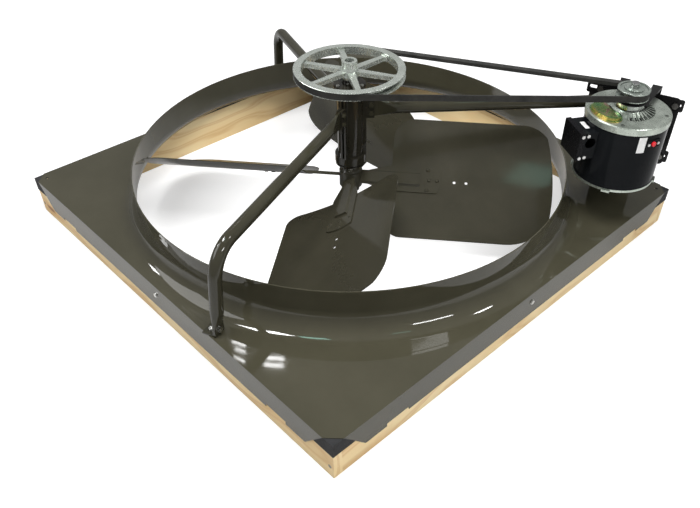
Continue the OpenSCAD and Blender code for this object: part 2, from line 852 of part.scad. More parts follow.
module drive_belt() {
  run = sqrt(pow(belt_centres, 2) - pow(fan_pitch_r - motor_pitch_r, 2));
  color("#26241f") translate([0, 0, belt_z]) rotate([0, 0, belt_azimuth]) union() {
    belt_arc(fan_pitch_r, 90 - belt_lean, 180 + 2 * belt_lean);
    translate([belt_centres, 0, 0])
      belt_arc(motor_pitch_r, -90 + belt_lean, 180 - 2 * belt_lean);
    for (s = [-1, 1]) mirror(s > 0 ? [0, 0, 0] : [0, 1, 0])
      rotate([0, 0, 90 - belt_lean]) translate([fan_pitch_r, 0, 0])
        rotate([90, 0, 0]) linear_extrude(run) belt_section();
  }
}

// ---------- motor ----------
// Motor frame: origin at its shaft's foot point, x along the slots, y towards the bracket
motor_x = belt_centres * cos(belt_azimuth);
motor_y = belt_centres * sin(belt_azimuth);
module motor_frame() {
  translate([motor_x, motor_y, 0]) rotate([0, 0, slide_azimuth]) children();
}
module motor_place() { translate([motor_x, motor_y, 0]) children(); }

motor_r = motor_d / 2;
rim_r = motor_r + 1.5;
bell_z = belt_z - 35.5;           // upper bell's flat face
bell_rim_h = 14.5;
shell_top = bell_z - bell_rim_h;
shell_z = shell_top - shell_len;
lower_rim_h = 5;
lower_hub_z = shell_z - 20;
shell_t = 1.5;
seat_r = 21;                      // bell hub inside the rubber ring
iso_r = 29;
iso_h = 11;
iso_groove = 3.2;
upper_iso_z = bell_z + 8.5;
lower_iso_z = lower_hub_z - iso_h - 1;
sleeve_r = 12;
motor_shaft_r = motor_shaft_d / 2;
bolt_ring_r = motor_r - 9.5;
bolt_first = 22.6;
stator_in = motor_r - 33;
core_z = shell_z + 34;
core_len = 62;

module motor_shell() {
  color("#1d1f22") motor_place() difference() {
    translate([0, 0, shell_z]) ring(motor_r, motor_r - shell_t, shell_len);
    reset_frame() translate([0, 0, -20]) cylinder(r = reset_r + 1, h = 30);
    reset_frame() for (s = [-1, 1]) translate([0, s * reset_screw_at, -6])
      cylinder(d = 3.2, h = 20);
    junction_frame() translate([0, 0, 0]) rotate([0, 90, 0]) cylinder(d = 18, h = 120);
  }
}

// Fins and vents on the upper bell, left out where the terminal cover lies
fin_count = 30;
fin_t = 2.2;
fin_in = 27;
fin_out = motor_r - 31.5;
vent_r = motor_r - 37;
cone_out = motor_r - 37.5;        // foot of the raised cone round the bell's hub
cone_in = iso_r + 1;
cone_h = 8;

module round_slot(length, width, depth) {
  reach = (length - width) / 2;
  for (s = [-1, 1]) translate([s * reach, 0, 0]) cylinder(d = width, h = depth);
  translate([-reach, -width / 2, 0]) cube([2 * reach, width, depth]);
}

module around_bell(offset) {
  for (i = [0:fin_count - 1]) {
    a = (i + offset) * 360 / fin_count - 180;
    if (a < cover_from - 28 || a > cover_to + 30) rotate([0, 0, a]) children();
  }
}

module upper_end_bell() {
  color("#a9aea6") motor_place() difference() {
    union() {
      // rim, face and the raised hub cone
      translate([0, 0, shell_top]) cylinder(r = rim_r, h = bell_rim_h - 2);
      translate([0, 0, bell_z - 2]) cylinder(r1 = rim_r, r2 = rim_r - 2, h = 2);
      difference() {
        translate([0, 0, bell_z - 0.5]) cylinder(r1 = cone_out, r2 = cone_in, h = cone_h);
        translate([0, 0, bell_z]) linear_extrude(20) kidney(0.4);
      }
      around_bell(0) rotate([90, 0, 0]) translate([0, 0, -fin_t / 2]) linear_extrude(fin_t)
        polygon([[20, bell_z - 1], [fin_out, bell_z - 1], [fin_out, bell_z + 1.5],
          [fin_in + 2, bell_z + cone_h], [20, bell_z + cone_h]]);
      translate([0, 0, bell_z]) cylinder(r = seat_r, h = 8.5 + iso_h + 1);
    }
    // hollow underside, with the hole for the wires under the terminal cover
    translate([0, 0, shell_top - 1]) cylinder(r = motor_r - shell_t, h = bell_rim_h - 4);
    translate([0, 0, bell_z - 6]) cylinder(r1 = cone_out - 4, r2 = cone_in - 4, h = cone_h + 2);
    translate([0, 0, bell_z - 8]) linear_extrude(20) kidney(-9);
    translate([0, 0, shell_top]) cylinder(r = sleeve_r, h = 60);
    around_bell(0.5) translate([vent_r, 0, bell_z - 8]) round_slot(11, 3.6, 20);
    around(4, bolt_first) translate([bolt_ring_r, 0, bell_z - 8]) cylinder(d = 5.4, h = 12);
    around(4, bolt_first) translate([bolt_ring_r, 0, bell_z - 1.2]) cylinder(d = 8.5, h = 3);
  }
}

ear_w = 17;
module lower_end_bell() {
  color("#a9aea6") motor_place() difference() {
    union() {
      translate([0, 0, shell_z - lower_rim_h]) cylinder(r = rim_r - 0.5, h = lower_rim_h);
      translate([0, 0, lower_hub_z]) cylinder(r1 = 34, r2 = rim_r - 8, h = shell_z - lower_rim_h - lower_hub_z);
      translate([0, 0, lower_iso_z - 1]) cylinder(r = seat_r, h = iso_h + 3);
      around(4, bolt_first) translate([bolt_ring_r - 6, -ear_w / 2, shell_z - lower_rim_h - 1.5])
        cube([20, ear_w, lower_rim_h]);
    }
    translate([0, 0, lower_hub_z + 6]) cylinder(r1 = 28, r2 = motor_r - 12,
      h = shell_z - lower_rim_h - lower_hub_z - 2);
    translate([0, 0, shell_z - 3]) cylinder(r = motor_r - 12, h = 4);
    translate([0, 0, lower_iso_z - 5]) cylinder(r = sleeve_r, h = 60);
    around(4, bolt_first) translate([bolt_ring_r, 0, shell_z - 20]) {
      cylinder(d = 5.4, h = 30);
      cylinder(d = 10, h = 20 - lower_rim_h - 1.5);
    }
  }
}

module through_bolts() {
  low = shell_z - lower_rim_h - 1.5;
  color("silver") motor_place() around(4, bolt_first) translate([bolt_ring_r, 0, 0]) {
    translate([0, 0, low - 3.5]) hex(8, 3.5);
    translate([0, 0, low - 0.5]) cylinder(d = 5, h = bell_z - 1.2 - low);
  }
}

// Laminated stator with winding slots, held in the shell
slot_count = 24;
module stator_core() {
  color("#55565a") motor_place() translate([0, 0, core_z]) linear_extrude(core_len) difference() {
    circle(r = motor_r - shell_t);
    circle(r = stator_in);
    around(slot_count) translate([stator_in + 2, -2.6]) square([15, 5.2]);
    around(4, bolt_first) translate([bolt_ring_r, 0]) circle(d = 6);
  }
}

module winding_end(h) {
  rotate_extrude() translate([stator_in + 10, h / 2]) scale([1, 1]) circle(r = h / 2);
}

module stator_windings() {
  color("#b8652a") motor_place() {
    translate([0, 0, core_z + core_len]) winding_end(15);
    translate([0, 0, core_z - 15]) winding_end(15);
    around(slot_count) translate([stator_in + 3, -2.2, core_z - 6])
      cube([12, 4.4, core_len + 12]);
  }
}

module motor_bearings() {
  color("#b08a4a") motor_place() {
    translate([0, 0, bell_z - 4]) ring(sleeve_r, motor_shaft_r + run_gap, iso_h + 12);
    translate([0, 0, lower_iso_z]) ring(sleeve_r, motor_shaft_r + run_gap, iso_h + 12);
  }
}

module rotor_core() {
  color("#8d8f90") motor_place() difference() {
    union() {
      translate([0, 0, core_z - 2]) cylinder(r = stator_in - 0.5, h = core_len + 4);
      translate([0, 0, core_z - 8]) cylinder(r = stator_in - 6, h = core_len + 16);
      around(10) translate([stator_in - 16, -1.5, core_z - 13]) cube([9, 3, core_len + 26]);
    }
    translate([0, 0, core_z - 20]) cylinder(r = motor_shaft_r + 0.02, h = core_len + 40);
  }
}

motor_shaft_top = belt_z + 21;
module motor_shaft() {
  color("silver") motor_place() translate([0, 0, lower_iso_z - 3])
    cylinder(r = motor_shaft_r, h = motor_shaft_top - lower_iso_z + 3);
}

motor_pulley_half = belt_w / 2 + 3.15;
motor_pulley_drop = 14;
module motor_pulley() {
  r = small_pulley_d / 2;
  color("#b9bdb8") motor_place() translate([0, 0, belt_z]) difference() {
    union() {
      rotate_extrude() rim_section(r, 1, motor_pulley_half);
      translate([0, 0, -motor_pulley_drop]) cylinder(r = 15, h = motor_pulley_drop);
      translate([0, 0, motor_pulley_half]) cylinder(r1 = 17, r2 = 15, h = 2);
    }
    translate([0, 0, -40]) cylinder(r = motor_shaft_r + 0.02, h = 80);
    translate([0, 0, motor_pulley_half - 1.5]) ring(r - 5, 19, 5);
    motor_pulley_screw_place() translate([0, 0, -2]) cylinder(d = 6.2, h = 40);
  }
}

module motor_pulley_screw_place() {
  rotate([0, 0, 5]) translate([motor_shaft_r, 0, -motor_pulley_drop + 3.2 - 7])
    translate([0, 0, 7]) rotate([0, 90, 0]) children();
}

module motor_pulley_screw() {
  color("#4a4a48") motor_place() translate([0, 0, belt_z]) motor_pulley_screw_place()
    cylinder(d = 6, h = 15 - motor_shaft_r + 2);
}

// ---------- motor mounting ----------
cradle_y = motor_r + 12.5;
cradle_t = 3;
cradle_half_w = motor_r + 3.5;
bracket_y = cradle_y + cradle_t + seat_gap;
bracket_t = 4;
bracket_half_w = motor_r + 11;
ear_half_w = motor_r + 18;
mount_top = belt_z - 37.5;
mount_bottom = shell_z - 19.5;
tension_bolt_d = 7.6;
tension_bolt_x = cradle_half_w - 9;
slot_rows = [mount_top - 16, mount_bottom + 22];
slot_len = 2 * slide_travel + tension_bolt_d + 5;

// Plates are drawn in the mount's plane: x along the slots, y up
module in_mount_plane(y, t) {
  motor_frame() translate([0, y + t, 0]) rotate([90, 0, 0]) linear_extrude(t) children();
}

module rounded_plate(x0, x1, z0, z1, c) {
  polygon(concat(
    arc_pts([x0 + c, z0 + c], c, 180, 270, 5), arc_pts([x1 - c, z0 + c], c, 270, 360, 5),
    arc_pts([x1 - c, z1 - c], c, 0, 90, 5), arc_pts([x0 + c, z1 - c], c, 90, 180, 5)
  ));
}

leg_half_w = 45;
foot_out = 40;
module motor_bracket() {
  color("#17181a") translate(-slide_set * [cos(slide_azimuth), sin(slide_azimuth), 0]) union() {
    difference() {
      in_mount_plane(bracket_y, bracket_t) union() {
        rounded_plate(-bracket_half_w, bracket_half_w, mount_bottom, mount_top - 4, 10);
        for (z = slot_rows) rounded_plate(-ear_half_w, ear_half_w, z - 14, z + 12, 4);
        translate([-leg_half_w, panel_z]) square([2 * leg_half_w, mount_bottom + 10 - panel_z]);
      }
      motor_frame() for (s = [-1, 1], z = slot_rows)
        translate([s * tension_bolt_x, bracket_y - 5, z]) rotate([-90, 0, 0])
          round_slot(slot_len, slot_w, 20);
    }
    difference() {
      motor_frame() translate([-leg_half_w, bracket_y, panel_z])
        cube([2 * leg_half_w, foot_out, bracket_t]);
      bracket_hole_places() translate([0, 0, -10])
        cylinder(d = strut_bolt_d + 2 * fit_gap, h = 30);
    }
  }
}

module bracket_hole_places() {
  motor_frame() for (s = [-1, 1]) translate([s * 28, bracket_y + 24, panel_z]) children();
}

// The bracket's holes where it stands, with the motor slid outwards from its middle
module bracket_bolt_places() {
  translate(-slide_set * [cos(slide_azimuth), sin(slide_azimuth), 0])
    bracket_hole_places() children();
}

module bracket_bolts() {
  color("silver") bracket_bolt_places() translate([0, 0, bracket_t])
    hex_bolt(strut_bolt_d, strut_bolt_flats, bracket_t + sheet_t);
}

// Cradle: a back plate with a window for the motor arm, and two forks that hold the rings
fork_half_w = 43;
prong_in = 23;            // the prongs of a fork run from here out to its edge
ring_seat_r = iso_r - 2;
module cradle_fork(z) {
  motor_frame() translate([0, 0, z]) linear_extrude(cradle_t) difference() {
    polygon([
      [-fork_half_w, cradle_y + cradle_t], [-34, 12], [-34, -6],
      [34, -6], [34, 12], [fork_half_w, cradle_y + cradle_t]
    ]);
    circle(r = ring_seat_r + 0.1);
    translate([-ring_seat_r, -60]) square([2 * ring_seat_r, 60]);
    polygon([
      [-prong_in, ring_seat_r + 9], [prong_in, ring_seat_r + 9],
      [prong_in, cradle_y + cradle_t + 1], [-prong_in, cradle_y + cradle_t + 1]
    ]);
  }
}

fork_z = [lower_iso_z + (iso_h - cradle_t) / 2, upper_iso_z + (iso_h - cradle_t) / 2];

// The arm crosses the cradle's plane aslant, so its window is wider than the tube
arm_skew = arm_azimuth - slide_azimuth;
arm_cross_s = (cradle_y + cradle_t / 2 + belt_centres * sin(belt_azimuth - slide_azimuth))
  / sin(arm_skew);
arm_cross_x = arm_cross_s * cos(arm_skew) - belt_centres * cos(belt_azimuth - slide_azimuth);
arm_cross_half = strut_d / 2 / sin(arm_skew) + cradle_t / 2 / tan(arm_skew) + 1.5;
window_x = [
  arm_cross_x - arm_cross_half - (slide_travel - slide_set),
  arm_cross_x + arm_cross_half + slide_travel + slide_set
];
window_half_h = strut_d / 2 + 3.3;
module motor_cradle() {
  color("#202124") difference() {
    union() {
      in_mount_plane(cradle_y, cradle_t) difference() {
        union() {
          rounded_plate(-cradle_half_w, cradle_half_w, mount_bottom + 6, mount_top, 10);
          for (s = [-1, 1])
            translate([s > 0 ? prong_in : -fork_half_w, fork_z[0]])
              square([fork_half_w - prong_in, fork_z[1] - fork_z[0] + cradle_t]);
        }
        translate([window_x[0], arm_out_z - 2 - window_half_h])
          square([window_x[1] - window_x[0], 2 * window_half_h]);
      }
      for (z = fork_z) cradle_fork(z);
    }
    motor_frame() for (s = [-1, 1], z = slot_rows)
      translate([s * tension_bolt_x, cradle_y - 5, z]) rotate([-90, 0, 0])
        cylinder(d = tension_bolt_d + 2 * fit_gap, h = 20);
  }
}

module tension_bolts() {
  grip = cradle_t + bracket_t + 2 * seat_gap + 2;
  color("silver") motor_frame() for (s = [-1, 1], z = slot_rows)
    translate([s * tension_bolt_x, cradle_y, z]) rotate([90, 0, 0]) {
      hex_bolt(tension_bolt_d, 12, grip);
      translate([0, 0, -grip]) cylinder(d = 18, h = 2);
    }
}

// Rubber rings round the bell hubs, grooved for the cradle's arms
module isolator(z) {
  groove_z = (iso_h - iso_groove) / 2;
  translate([0, 0, z]) rotate_extrude() polygon([
    [seat_r, 0], [iso_r, 0], [iso_r, groove_z], [ring_seat_r, groove_z],
    [ring_seat_r, groove_z + iso_groove], [iso_r, groove_z + iso_groove],
    [iso_r, iso_h], [seat_r, iso_h]
  ]);
}

module motor_isolators() {
  color("#2b2b2b") motor_place() {
    isolator(upper_iso_z);
    isolator(lower_iso_z);
  }
}

// Bright steel straps round the front of the rings
module cradle_clamp(z) {
  translate([0, 0, z + 1]) intersection() {
    ring(iso_r + 1.2, iso_r, iso_h - 2);
    translate([-60, -60, 0]) cube([120, 60 - 6.3, iso_h]);
  }
}

module cradle_clamps() {
  color("#d4d7d8") motor_frame() {
    cradle_clamp(upper_iso_z);
    cradle_clamp(lower_iso_z);
  }
}

// ---------- terminal cover ----------
// Kidney-shaped plated cover on the upper bell
cover_from = -134;        // azimuths of the middles of its round ends
cover_to = -93;
cover_in = iso_r + 8;
cover_out = motor_r - 4.5;
cover_h = 6.5;
module kidney(grow) {
  mid = (cover_in + cover_out) / 2;
  half = (cover_out - cover_in) / 2 + grow;
  steps = 10;
  polygon(concat(
    arc_pts([0, 0], mid + half, cover_from, cover_to, 14),
    arc_pts(mid * [cos(cover_to), sin(cover_to)], half, cover_to, cover_to + 180, steps),
    arc_pts([0, 0], mid - half, cover_to, cover_from, 14),
    arc_pts(mid * [cos(cover_from), sin(cover_from)], half, cover_from + 180, cover_from + 360, steps)
  ));
}

module terminal_cover() {
  color("#b9a94a") motor_place() translate([0, 0, bell_z]) {
    linear_extrude(1.2) kidney(0);
    translate([0, 0, 1]) linear_extrude(cover_h - 2.2) kidney(-3.6);
    translate([0, 0, cover_h - 1.3]) linear_extrude(1.3) kidney(-5);
  }
}

// ---------- junction box ----------
// Box frame: origin on the motor's axis, x out through the box, at its middle height
box_azimuth = 240;
box_z = shell_top - 40.5;
box_w = 66;
box_hh = 58;
box_wall = 1.6;
box_out = motor_r + 29.5;         // the box's open end
pan_face = motor_r + 32.5;        // outer face of its cover
pan_rim = 11;                     // depth of the cover's rim, which slips over the box
knockout_d = 22.2;
knockout_x = motor_r + 6.5;
knockout_rise = 6.5;
junction_screw_d = 3;
junction_screw_x = [pan_face - 6, motor_r + 14.5];    // through the rim, and through the box alone
junction_screw_in = 5;

module junction_frame() { translate([0, 0, box_z]) rotate([0, 0, box_azimuth]) children(); }

module junction_box() {
  color("#202225") motor_place() difference() {
    junction_frame() difference() {
      translate([motor_r - 23.5, -box_w / 2, -box_hh / 2])
        cube([box_out - motor_r + 23.5, box_w, box_hh]);
      translate([motor_r - 33.5, -box_w / 2 + box_wall, -box_hh / 2 + box_wall])
        cube([box_out, box_w - 2 * box_wall, box_hh - 2 * box_wall]);
      translate([knockout_x, 0, knockout_rise]) rotate([-90, 0, 0])
        cylinder(d = knockout_d, h = 60);
      junction_screw_places() translate([0, 0, -8])
        cylinder(d = junction_screw_d + 2 * fit_gap, h = 16);
    }
    cylinder(r = motor_r, h = 600, $fn = 360);
  }
}

// Pan-shaped cover, with a rim that slips over the box's walls
module junction_cover() {
  color("#191b1e") motor_place() junction_frame() difference() {
    translate([pan_face - pan_rim, -box_w / 2 - seat_gap - box_wall, -box_hh / 2 - seat_gap - box_wall])
      cube([pan_rim, box_w + 2 * (seat_gap + box_wall), box_hh + 2 * (seat_gap + box_wall)]);
    translate([pan_face - pan_rim - 1, -box_w / 2 - seat_gap, -box_hh / 2 - seat_gap])
      cube([pan_rim + 1 - box_wall, box_w + 2 * seat_gap, box_hh + 2 * seat_gap]);
    junction_screw_places() translate([0, 0, -8])
      cylinder(d = junction_screw_d + 2 * fit_gap, h = 16);
  }
}

// On the box's side with the knock-out: two screws hold the cover, two the box
module junction_screw_places() {
  for (s = [-1, 1], k = [0, 1])
    translate([
      junction_screw_x[k],
      box_w / 2 + (k == 0 ? seat_gap + box_wall : 0),
      s * (box_hh / 2 - junction_screw_in)
    ]) rotate([-90, 0, 0]) children();
}

module junction_screws() {
  color("silver") motor_place() junction_frame() junction_screw_places() {
    cylinder(d = 7, h = 2.4);
    translate([0, 0, -7]) cylinder(d = junction_screw_d, h = 8);
  }
}

// ---------- reset button ----------
reset_azimuth = -19;
reset_z = shell_top - 20;
reset_r = 5;
reset_out = 4;
reset_press = 2.5;
reset_screw_at = 11.5;
bezel_t = 2;

// Button frame: z points out of the shell, with z = 0 on its surface
module reset_frame() {
  translate([0, 0, reset_z]) rotate([0, 0, reset_azimuth]) translate([motor_r, 0, 0])
    rotate([0, 90, 0]) children();
}

module reset_bezel() {
  color("#141517") motor_place() difference() {
    reset_frame() difference() {
      translate([-8, -16, -3]) cube([16, 32, 3 + bezel_t]);
      translate([0, 0, -10]) cylinder(r = reset_r + 0.4, h = 30);
      for (s = [-1, 1]) translate([0, s * reset_screw_at, -6]) cylinder(d = 3.2, h = 20);
    }
    cylinder(r = motor_r, h = 600, $fn = 360);
  }
}

module reset_button() {
  color("#d8232f") motor_place() reset_frame() {
    translate([0, 0, -4]) cylinder(r = reset_r, h = 4 + bezel_t + reset_out - 1);
    translate([0, 0, -6.2]) cylinder(r = 2.4, h = 3);
    translate([0, 0, bezel_t + reset_out - 1]) cylinder(r1 = reset_r, r2 = reset_r - 1, h = 1);
  }
}

module bezel_screws() {
  color("silver") motor_place() reset_frame() for (s = [-1, 1])
    translate([0, s * reset_screw_at, bezel_t]) {
      cylinder(d = 6, h = 2);
      translate([0, 0, -10]) cylinder(d = 3, h = 11);
    }
}

// Thermal overload switch behind the button, hung from the same two screws
switch_in = 7;
module overload_switch() {
  color("#5a3a22") motor_place() reset_frame() difference() {
    translate([-7, -16, -switch_in - 7]) cube([14, 32, 7]);
    for (s = [-1, 1]) translate([0, s * reset_screw_at, -20]) cylinder(d = 3.2, h = 20);
    translate([0, 0, -switch_in - 2]) cylinder(r = 3, h = 5);
  }
}

// Plain white stickers with nothing on them: one on the shell, one on top of the box
label_w = 16.03085;       // round the shell, and as far again from the button's middle
label_to = reset_azimuth - label_w / motor_r * 180 / PI;
label_from = label_to - label_w / motor_r * 180 / PI;
label_t = 0.4;
label_film = 0.03;
module blank_label() {
  color("white") motor_place() {
    intersection() {
      translate([0, 0, reset_z - 18]) ring(motor_r + label_t, motor_r + label_film, 34);
      rotate([0, 0, label_from]) rotate_extrude(angle = label_to - label_from)
        translate([60, 0]) square([40, 600]);
    }
    junction_frame() translate([motor_r + 2.5, -14, box_hh / 2 + label_film])
      cube([9.5, 27, label_t]);
  }
}

frame_board_front();
frame_board_back();
frame_board_left();
frame_board_right();
frame_screws();
foam_gasket();
venturi_panel();
panel_screws();
strut_near();
strut_far();
motor_arm();
strut_foot_clips();
foot_bolts();
foot_lag_screws();
hub_bolts();
bearing_housing();
bearing_caps();
cap_screws();
upper_bearing();
lower_bearing();
bearing_inner_rings();
fan_shaft();
shaft_collar();
fan_hub();
spider();
blade_1();
blade_2();
blade_3();
blade_4();
blade_rivets();
fan_set_screws();
fan_pulley();
pulley_key();
drive_belt();
motor_bracket();
bracket_bolts();
motor_cradle();
tension_bolts();
motor_isolators();
cradle_clamps();
motor_shell();
upper_end_bell();
lower_end_bell();
through_bolts();
stator_core();
stator_windings();
motor_bearings();
rotor_core();
motor_shaft();
motor_pulley();
motor_pulley_screw();
terminal_cover();
junction_box();
junction_cover();
junction_screws();
reset_bezel();
reset_button();
overload_switch();
bezel_screws();
blank_label();
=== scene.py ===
"""Looks of the whole house fan: finishes, studio light and the photograph's camera.

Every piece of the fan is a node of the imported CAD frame. Lengths are in metres.
"""
import json
import math

import bpy
from mathutils import Matrix, Quaternion, Vector

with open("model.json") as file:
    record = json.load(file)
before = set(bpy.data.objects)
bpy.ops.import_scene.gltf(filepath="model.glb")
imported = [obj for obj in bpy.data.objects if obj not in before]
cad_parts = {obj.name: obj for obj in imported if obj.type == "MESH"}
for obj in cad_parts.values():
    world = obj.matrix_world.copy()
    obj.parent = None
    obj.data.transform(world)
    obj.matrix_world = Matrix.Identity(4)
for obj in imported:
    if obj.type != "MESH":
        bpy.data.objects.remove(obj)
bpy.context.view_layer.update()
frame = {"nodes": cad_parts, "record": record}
nodes = frame["nodes"]
scene = bpy.context.scene


# ---------- camera ----------
# Fitted to the photograph's own perspective. The angles are in degrees.
CAMERA_AT = (1.0398, -0.9475, 1.0253)
CAMERA_AZIMUTH, CAMERA_ELEVATION, CAMERA_ROLL = 45.3987, 42.4173, -0.783
SENSOR_MM, LENS_MM = 36, 37.14
SHIFT_X, SHIFT_Y = -0.0335, 0.0587


def make_camera():
    azimuth, elevation = math.radians(CAMERA_AZIMUTH), math.radians(CAMERA_ELEVATION)
    ahead = Vector((
        -math.sin(azimuth) * math.cos(elevation),
        math.cos(azimuth) * math.cos(elevation),
        -math.sin(elevation),
    ))
    level = ahead.to_track_quat("-Z", "Y")
    cam = bpy.data.objects.new("camera", bpy.data.cameras.new("camera"))
    scene.collection.objects.link(cam)
    cam.rotation_mode = "QUATERNION"
    cam.rotation_quaternion = Quaternion(ahead, math.radians(CAMERA_ROLL)) @ level
    cam.location = CAMERA_AT
    cam.data.sensor_width = SENSOR_MM
    cam.data.lens = LENS_MM
    cam.data.shift_x = SHIFT_X
    cam.data.shift_y = SHIFT_Y
    scene.camera = cam


make_camera()


# ---------- node materials ----------
CREVICE_SHADE_REACH = 0.012    # widest slot that gets painted shade
DUST = 0.02            # share of a dust speck's colour in the enamel


class Shader:
    """Builds one material's nodes. Textures lie in the object's own coordinates."""

    def __init__(self, name):
        self.mat = bpy.data.materials.new(name)
        self.mat.use_nodes = True
        self.tree = self.mat.node_tree
        self.bsdf = self.tree.nodes["Principled BSDF"]
        self.coord = self.add("TexCoord").outputs["Object"]

    def feed(self, socket, value):
        """Links another node's output to a socket, or sets the socket's own value."""
        if hasattr(value, "is_output"):
            self.tree.links.new(value, socket)
        elif socket.type == "RGBA":
            socket.default_value = (*value, 1)
        else:
            socket.default_value = value

    def add(self, kind, props=None, **sockets):
        """Adds a node, sets its properties and feeds its sockets by their names."""
        node = self.tree.nodes.new("ShaderNode" + kind)
        for key, value in (props or {}).items():
            setattr(node, key, value)
        for key, value in sockets.items():
            self.feed(node.inputs[key.replace("_", " ")], value)
        return node

    def put(self, **sockets):
        """Feeds the Principled shader's sockets."""
        for key, value in sockets.items():
            self.feed(self.bsdf.inputs[key.replace("_", " ")], value)

    def mapped(self, scale, move=(0, 0, 0)):
        return self.add("Mapping", Scale=scale, Location=move, Vector=self.coord).outputs["Vector"]

    def noise(self, scale, detail=3, rough=0.5, vector=None, distort=0):
        return self.add(
            "TexNoise", Scale=scale, Detail=detail, Roughness=rough, Distortion=distort,
            Vector=vector or self.coord,
        ).outputs["Fac"]

    def ramp(self, fac, *stops):
        """Turns a value into a colour through (position, grey or colour) stops."""
        node = self.add("ValToRGB", Fac=fac)
        elements = node.color_ramp.elements
        while len(elements) < len(stops):
            elements.new(0.5)
        for element, (position, colour) in zip(elements, stops):
            element.position = position
            element.color = (*(colour if isinstance(colour, tuple) else (colour,) * 3), 1)
        return node.outputs["Color"]

    def mix(self, fac, a, b, blend="MIX"):
        """Mixes two colours."""
        node = self.add("Mix", {"data_type": "RGBA", "blend_type": blend}, Factor=fac)
        first, second = (s for s in node.inputs if s.type == "RGBA")
        self.feed(first, a)
        self.feed(second, b)
        return next(s for s in node.outputs if s.type == "RGBA")

    def combine(self, kind, operation, a, b):
        node = self.add(kind, {"operation": operation})
        self.feed(node.inputs[0], a)
        self.feed(node.inputs[1], b)
        return node.outputs[0]

    def math(self, operation, a, b=0.0):
        return self.combine("Math", operation, a, b)

    def shade_crevices(self, colour, crevice_shade):
        """Darkens a colour in slots and corners as painted shade, where the given share of it is
        lost.
        """
        # painted shade: ambient occlusion darkens the colour where slots and corners are narrow
        openness = self.add("AmbientOcclusion", {"samples": 8}, Distance=CREVICE_SHADE_REACH)
        painted_shade = self.ramp(openness.outputs["AO"], (0.30, 1 - crevice_shade), (0.82, 1.0))
        return self.mix(1.0, colour, painted_shade, "MULTIPLY")

    def bump(self, height, strength, distance):
        """Raises the surface by a height map, up to `distance`."""
        node = self.add("Bump", Strength=strength, Distance=distance, Height=height)
        self.put(Normal=node.outputs["Normal"])


def paint(name, dark, light, rough=(0.045, 0.085), specular=0.5, peel=0.02):
    """Sprayed gloss enamel on steel: orange peel, faint mottling and a little dust."""
    s = Shader(name)
    mottle = s.noise(7, 4, 0.6)
    fine = s.noise(160, 2, 0.6)
    base = s.ramp(mottle, (0.3, dark), (0.7, light))
    dust = s.ramp(s.noise(150, 5, 0.75), (0.62, 0.0), (0.80, DUST))
    colour = s.mix(dust, base, tuple(c * 2.0 + 0.02 for c in light))
    s.put(Base_Color=colour, Specular_IOR_Level=specular)
    level = s.math("ADD", s.math("MULTIPLY", mottle, 0.6), s.math("MULTIPLY", fine, 0.4))
    s.put(Roughness=s.ramp(level, (0.35, rough[0]), (0.65, rough[1])))
    s.bump(s.noise(240, 2, 0.5), peel, 0.0004)
    return s.mat


PALE_WOOD, HONEY_WOOD, LATE_WOOD = (0.92, 0.74, 0.43), (0.86, 0.62, 0.30), (0.64, 0.37, 0.13)
FIBRE_WOOD, HALO_WOOD, KNOT_WOOD = (0.93, 0.76, 0.47), (0.70, 0.40, 0.14), (0.24, 0.085, 0.025)


def pine(name, along):
    """Planed pine: long arches of the growth rings, fine fibre, a few knots."""
    s = Shader(name)

    def along_board(long, across):
        return (long, across, across) if along == "X" else (across, long, across)

    # growth rings: long ellipsoids, pushed about by a slow noise
    wander = s.add("TexNoise", Scale=1.0, Detail=2, Vector=s.mapped(along_board(2.2, 9)))
    push = s.add("VectorMath", {"operation": "SCALE"}, Vector=wander.outputs["Color"], Scale=0.95)
    board = s.mapped(along_board(0.55, 13), move=(0.21, 0.13, 0.37))
    rings = s.add(
        "TexWave", {"wave_type": "RINGS", "rings_direction": "SPHERICAL"},
        Scale=1.5, Distortion=1.6, Detail=3, Detail_Scale=1.2,
        Vector=s.combine("VectorMath", "ADD", board, push.outputs[0]),
    )
    late = s.ramp(rings.outputs["Fac"], (0.45, 0.0), (0.92, 0.75), (1.0, 0.35))
    broad = s.noise(1.3, 3, 0.55, s.mapped(along_board(1.5, 7)), 0.5)
    ground = s.ramp(broad, (0.35, PALE_WOOD), (0.68, HONEY_WOOD))
    wood = s.mix(s.math("MULTIPLY", late, 0.75), ground, LATE_WOOD)
    # fibre
    fibre = s.noise(1.0, 4, 0.6, s.mapped(along_board(7, 380)))
    wood = s.mix(s.ramp(fibre, (0.45, 0.0), (0.75, 0.30)), wood, FIBRE_WOOD)
    # knots, each with a darker halo
    knots = s.mapped(along_board(2.4, 8), move=(0.35, 0.62, 0.2))
    away = s.add("TexVoronoi", {"feature": "F1"}, Scale=1, Vector=knots).outputs["Distance"]
    wood = s.mix(s.ramp(away, (0.07, 0.55), (0.20, 0.0)), wood, HALO_WOOD)
    wood = s.mix(s.ramp(away, (0.035, 0.85), (0.065, 0.0)), wood, KNOT_WOOD)
    s.put(Base_Color=wood, Roughness=s.ramp(fibre, (0.3, 0.42), (0.7, 0.62)))
    s.bump(s.math("ADD", fibre, s.math("MULTIPLY", late, 0.5)), 0.2, 0.0005)
    return s.mat


def foam_rubber():
    """Closed-cell foam tape."""
    s = Shader("foam_tape")
    cells = s.add("TexVoronoi", Scale=900, Vector=s.coord).outputs["Distance"]
    s.put(
        Base_Color=s.ramp(s.noise(60), (0.3, (0.010, 0.010, 0.011)), (0.8, (0.028, 0.028, 0.030))),
        Roughness=s.ramp(cells, (0.1, 0.95), (0.6, 0.75)),
    )
    s.bump(cells, 0.5, 0.0006)
    return s.mat


